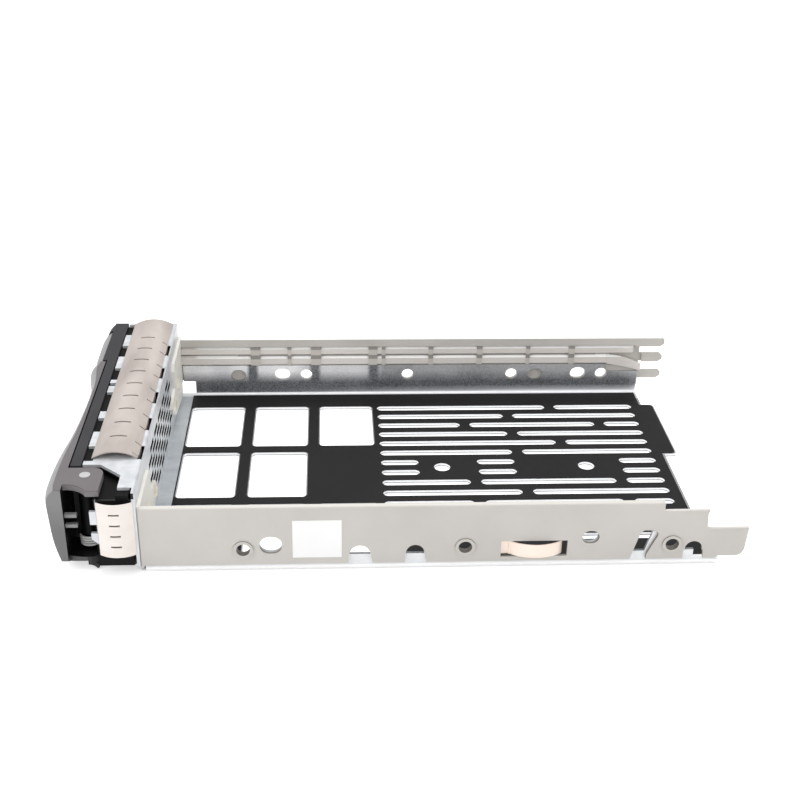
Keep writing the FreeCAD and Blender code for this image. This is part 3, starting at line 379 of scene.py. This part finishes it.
def clip_plastic():
    """The clips over the light pipes: as pale as the pipes, and painted darker, as painted shade, where they
    cross the bright lines.
    """
    g = Graph("carrier plastic")
    x, y, z = where(g)
    broad = g.noise(60, 3.0)
    body = g.mix(broad, srgb(196, 191, 184), srgb(210, 205, 198))
    lit_line_heights = either(g, between(g, z, 13.9, 15.3), between(g, z, 17.3, 18.4))
    g.put(g.shader.inputs["Base Color"], g.mix(lit_line_heights, body, srgb(150, 145, 139)))
    g.put(g.shader.inputs["Roughness"], g.spread(g.noise(1800, 2.0), 0.45, 0.55))
    return g.material


def handle_spring_wire():
    """Bright wire; the far half of the coil, in the pocket, is painted near black as painted shade."""
    g = Graph("handle spring wire")
    x, y, z = where(g)
    wire = g.mix(g.noise(400, 2.0), srgb(246, 246, 245), srgb(255, 255, 254))
    g.put(g.shader.inputs["Base Color"], g.mix(sloped(g, y, -44.4, -43.8), wire, srgb(12, 12, 12)))
    g.put(g.shader.inputs["Roughness"], g.spread(g.noise(900, 2.0), 0.32, 0.42))
    return g.material


FLANGE_HIGHLIGHT = (230, 228, 220)
galvanised = floor_steel()
galvanised_bracket = bracket_steel()
near_steel = dull(rail_steel("beige plated steel", dark=(197, 193, 188), light=(207, 203, 198),
                             flange_highlight=FLANGE_HIGHLIGHT, top=(205, 202, 196)), 0.25)
far_steel = dull(rail_steel("far rail plated steel", dark=(193, 189, 183), light=(206, 202, 196),
                            flange_highlight=FLANGE_HIGHLIGHT, top=(250, 250, 246)), 0.25)
eyelets = dull(eyelet_steel(), 0.25)
film = dull(finish("insulating film", (25, 24, 25), (30, 29, 30), metallic=0.0, rough=0.42,
                   tone_scale=40, grain_scale=3500, grain=0.05), 0.15)
gasket = finish("gasket alloy", (190, 180, 174), (214, 204, 198), metallic=0.55, rough=0.4,
                tone_scale=150, grain_scale=2500, grain=0.05, stretch=(1, 0.3, 1))
side_alloy = finish("side gasket alloy", (226, 218, 212), (236, 229, 223), metallic=0.2, rough=0.42,
                    tone_scale=150, grain_scale=2500, grain=0.05)
copper_alloy = finish("grounding spring alloy", (224, 205, 192), (240, 226, 215), metallic=0.5, rough=0.36,
                      tone_scale=120, grain_scale=2500, grain=0.05, stretch=(0.2, 1, 1))
black_plastic = dull(finish("black plastic", (9, 9, 10), (13, 13, 14), metallic=0.0, rough=0.5,
                            tone_scale=60, grain_scale=2200, grain=0.15), 0.12)
panel_plastic = dull(finish("dark bezel plastic", (54, 54, 57), (62, 62, 65), metallic=0.0, rough=0.5,
                            tone_scale=60, grain_scale=2200, grain=0.15), 0.15)
handle_grey = dull(handle_plastic("grey handle plastic"), 0.3)
bright_steel = finish("plated steel", (205, 205, 207), (225, 225, 227), metallic=1.0, rough=0.25,
                      tone_scale=150, grain_scale=2500, grain=0.04)
rivet_plating = finish("rivet plating", (214, 209, 192), (232, 227, 212), metallic=0.4, rough=0.35,
                       tone_scale=300, grain_scale=2500, grain=0.04)
spring_wire = handle_spring_wire()
pin_steel = finish("pin head", (186, 185, 185), (196, 195, 195), metallic=0.3, rough=0.4,
                   tone_scale=150, grain_scale=2500, grain=0.0)
label = finish("label paper", (246, 246, 246), (251, 251, 251), metallic=0.0, rough=0.6,
               tone_scale=80, grain_scale=4000, grain=0.05)
pipe = clear_plastic()
clips = clip_plastic()

LOOKS = {
    galvanised: ["floor_tray"],
    galvanised_bracket: ["front_bracket"],
    film: ["floor_film"],
    near_steel: ["near_rail"],
    eyelets: ["near_eyelets"],
    far_steel: ["far_rail"],
    pipe: ["light_pipe_upper", "light_pipe_lower", "indicator_lens_upper", "indicator_lens_lower"],
    clips: ["pipe_carrier"],
    bright_steel: ["bezel_screws", "panel_screws", "pin_clip", "button_pin", "button_spring"],
    rivet_plating: ["flange_rivets"],
    spring_wire: ["handle_spring"],
    pin_steel: ["pivot_pin"],
    gasket: ["top_gasket"],
    side_alloy: ["side_gasket"],
    copper_alloy: ["ground_spring"],
    label: ["blank_label"],
    black_plastic: ["bezel_body"],
    panel_plastic: ["front_panel"],
    handle_grey: ["handle", "release_button"],
}
for material, names in LOOKS.items():
    for name in names:
        dress(name, material)


# ---------------------------------------------------------------- round slot ends
HALF_BAY = 51.0 * MM                # half the drive bay's width
SLOT_START = 66.5 * MM
SLOT_SPAN = 86.7 * MM
SLOT_PITCH = 0.1167 * HALF_BAY
SLOT_WIDTH = 0.54 * SLOT_PITCH
FIRST_SLOT_Y = 6.5 * SLOT_PITCH + 0.45 * MM
SLOT_ROWS = "abcbabddcbcbab"
BRIDGE = 1.55 * MM                  # half the width of a narrow bridge
SLOT_BREAKS = {                     # each bridge's middle, as a share of the span, and half its width
    "a": [(0.674, BRIDGE)],
    "b": [(0.502, BRIDGE)],
    "c": [(0.329, BRIDGE), (0.845, BRIDGE)],
    "d": [(0.241, 0.105 * SLOT_SPAN), (0.6735, 0.1905 * SLOT_SPAN)],      # round the floor's two holes
}
END_RADIUS = SLOT_WIDTH / 2 - 0.01 * MM
END_SIDES = 20
CUTTER_DEPTH = 6 * MM
WELD = 1e-7
SHARP_ANGLE = math.radians(35)


def slot_ends():
    """The middles of the circles that round off the floor's slots."""
    inset = SLOT_WIDTH / 2
    for row, kind in enumerate(SLOT_ROWS):
        y = FIRST_SLOT_Y - row * SLOT_PITCH
        yield SLOT_START + inset, y
        for share, half in SLOT_BREAKS[kind]:
            middle = SLOT_START + share * SLOT_SPAN
            yield middle - half - inset, y
            yield middle + half + inset, y
        yield SLOT_START + SLOT_SPAN - inset, y


def with_round_ends(name, node):
    """A copy of a slotted sheet whose slots end in half circles, in place of blunt points."""
    cutter = bmesh.new()
    for x, y in slot_ends():
        bmesh.ops.create_cone(cutter, cap_ends=True, segments=END_SIDES, radius1=END_RADIUS,
                              radius2=END_RADIUS, depth=CUTTER_DEPTH, matrix=Matrix.Translation((x, y, 0)))
    tool = bpy.data.objects.new(name + "_cutter", bpy.data.meshes.new(name + "_cutter"))
    cutter.to_mesh(tool.data)
    cutter.free()
    sheet = bmesh.new()
    sheet.from_mesh(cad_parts[node].data)
    bmesh.ops.remove_doubles(sheet, verts=sheet.verts, dist=WELD)
    piece = bpy.data.objects.new(name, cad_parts[node].data.copy())
    sheet.to_mesh(piece.data)
    sheet.free()
    for obj in (piece, tool):
        scene.collection.objects.link(obj)
    cut = piece.modifiers.new("round ends", "BOOLEAN")
    cut.object = tool
    cut.operation = "DIFFERENCE"
    cut.solver = "EXACT"
    bpy.context.view_layer.update()
    made = bpy.data.meshes.new_from_object(piece.evaluated_get(bpy.context.evaluated_depsgraph_get()))
    piece.modifiers.clear()
    piece.data = made
    bpy.data.objects.remove(tool)
    if "custom_normal" in made.attributes:      # the uncut sheet's normals no longer fit
        made.attributes.remove(made.attributes["custom_normal"])
    made.shade_smooth()
    made.set_sharp_from_angle(angle=SHARP_ANGLE)
    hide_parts(node)
    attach(piece, "caddy")


with_round_ends("slotted_floor", "floor_tray")
with_round_ends("slotted_film", "floor_film")


# ---------------------------------------------------------------- the button's return spring
# It is a copy of the CAD spring, with a mesh of its own, hung from the caddy.
coil = bpy.data.objects.new("return_coil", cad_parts["button_spring"].data.copy())
scene.collection.objects.link(coil)
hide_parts("button_spring")
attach(coil, "caddy")
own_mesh(coil)


# ---------------------------------------------------------------- studio
def seen_white(g, colour, strength):
    """Shows the plain white of the backdrop to the camera, and to what metal and glass reflect."""
    path = g.node("ShaderNodeLightPath")
    rays = g.node("ShaderNodeMath", {0: path.outputs["Is Camera Ray"], 1: path.outputs["Is Glossy Ray"]},
                  operation="MAXIMUM")
    rays = g.node("ShaderNodeMath", {0: rays.outputs[0], 1: path.outputs["Is Transmission Ray"]},
                  operation="MAXIMUM")
    g.put(g.shader.inputs["Emission Color"], colour)
    g.put(g.shader.inputs["Emission Strength"],
          g.node("ShaderNodeMath", {0: rays.outputs[0], 1: strength}, operation="MULTIPLY").outputs[0])


FLOOR_SIZE = 6.0
FLOOR_GAP = 0.05 * MM
FLOOR_GLOW = 0.55                 # with the lamps' light this shows as white, and still takes a shadow
WORLD_LIGHT = 0.55
WHITE = (1, 1, 1, 1)

bpy.ops.mesh.primitive_plane_add(size=FLOOR_SIZE, location=(0, 0, -FLOOR_GAP))
floor = bpy.context.object
floor.name = "studio floor"
g = Graph("studio floor")
g.shader.inputs["Base Color"].default_value = (0.8, 0.8, 0.8, 1)
g.shader.inputs["Roughness"].default_value = 0.9
g.shader.inputs["Specular IOR Level"].default_value = 0.1
seen_white(g, WHITE, FLOOR_GLOW)
floor.data.materials.append(g.material)

world = bpy.data.worlds.new("studio")
scene.world = world
world.use_nodes = True
background = world.node_tree.nodes["Background"]
links = world.node_tree.links
path = world.node_tree.nodes.new("ShaderNodeLightPath")
blend = world.node_tree.nodes.new("ShaderNodeMix")
blend.data_type = "FLOAT"
links.new(path.outputs["Is Camera Ray"], blend.inputs[0])
blend.inputs[2].default_value = WORLD_LIGHT
blend.inputs[3].default_value = 1.0
background.inputs["Color"].default_value = WHITE
links.new(blend.outputs[0], background.inputs["Strength"])


def area_lamp(name, at, aim, size, watts):
    data = bpy.data.lights.new(name, "AREA")
    data.energy = watts
    data.size = size
    lamp = bpy.data.objects.new(name, data)
    scene.collection.objects.link(lamp)
    lamp.location = at
    lamp.rotation_euler = (Vector(aim) - Vector(at)).to_track_quat("-Z", "Y").to_euler()


MIDDLE = (0.07, 0.0, 0.01)
area_lamp("softbox above", (0.05, 0.15, 0.75), MIDDLE, size=0.7, watts=5.0)
area_lamp("softbox left", (-0.6, -0.35, 0.4), MIDDLE, size=0.5, watts=2.4)
area_lamp("softbox right", (0.7, -0.5, 0.45), MIDDLE, size=0.5, watts=1.6)
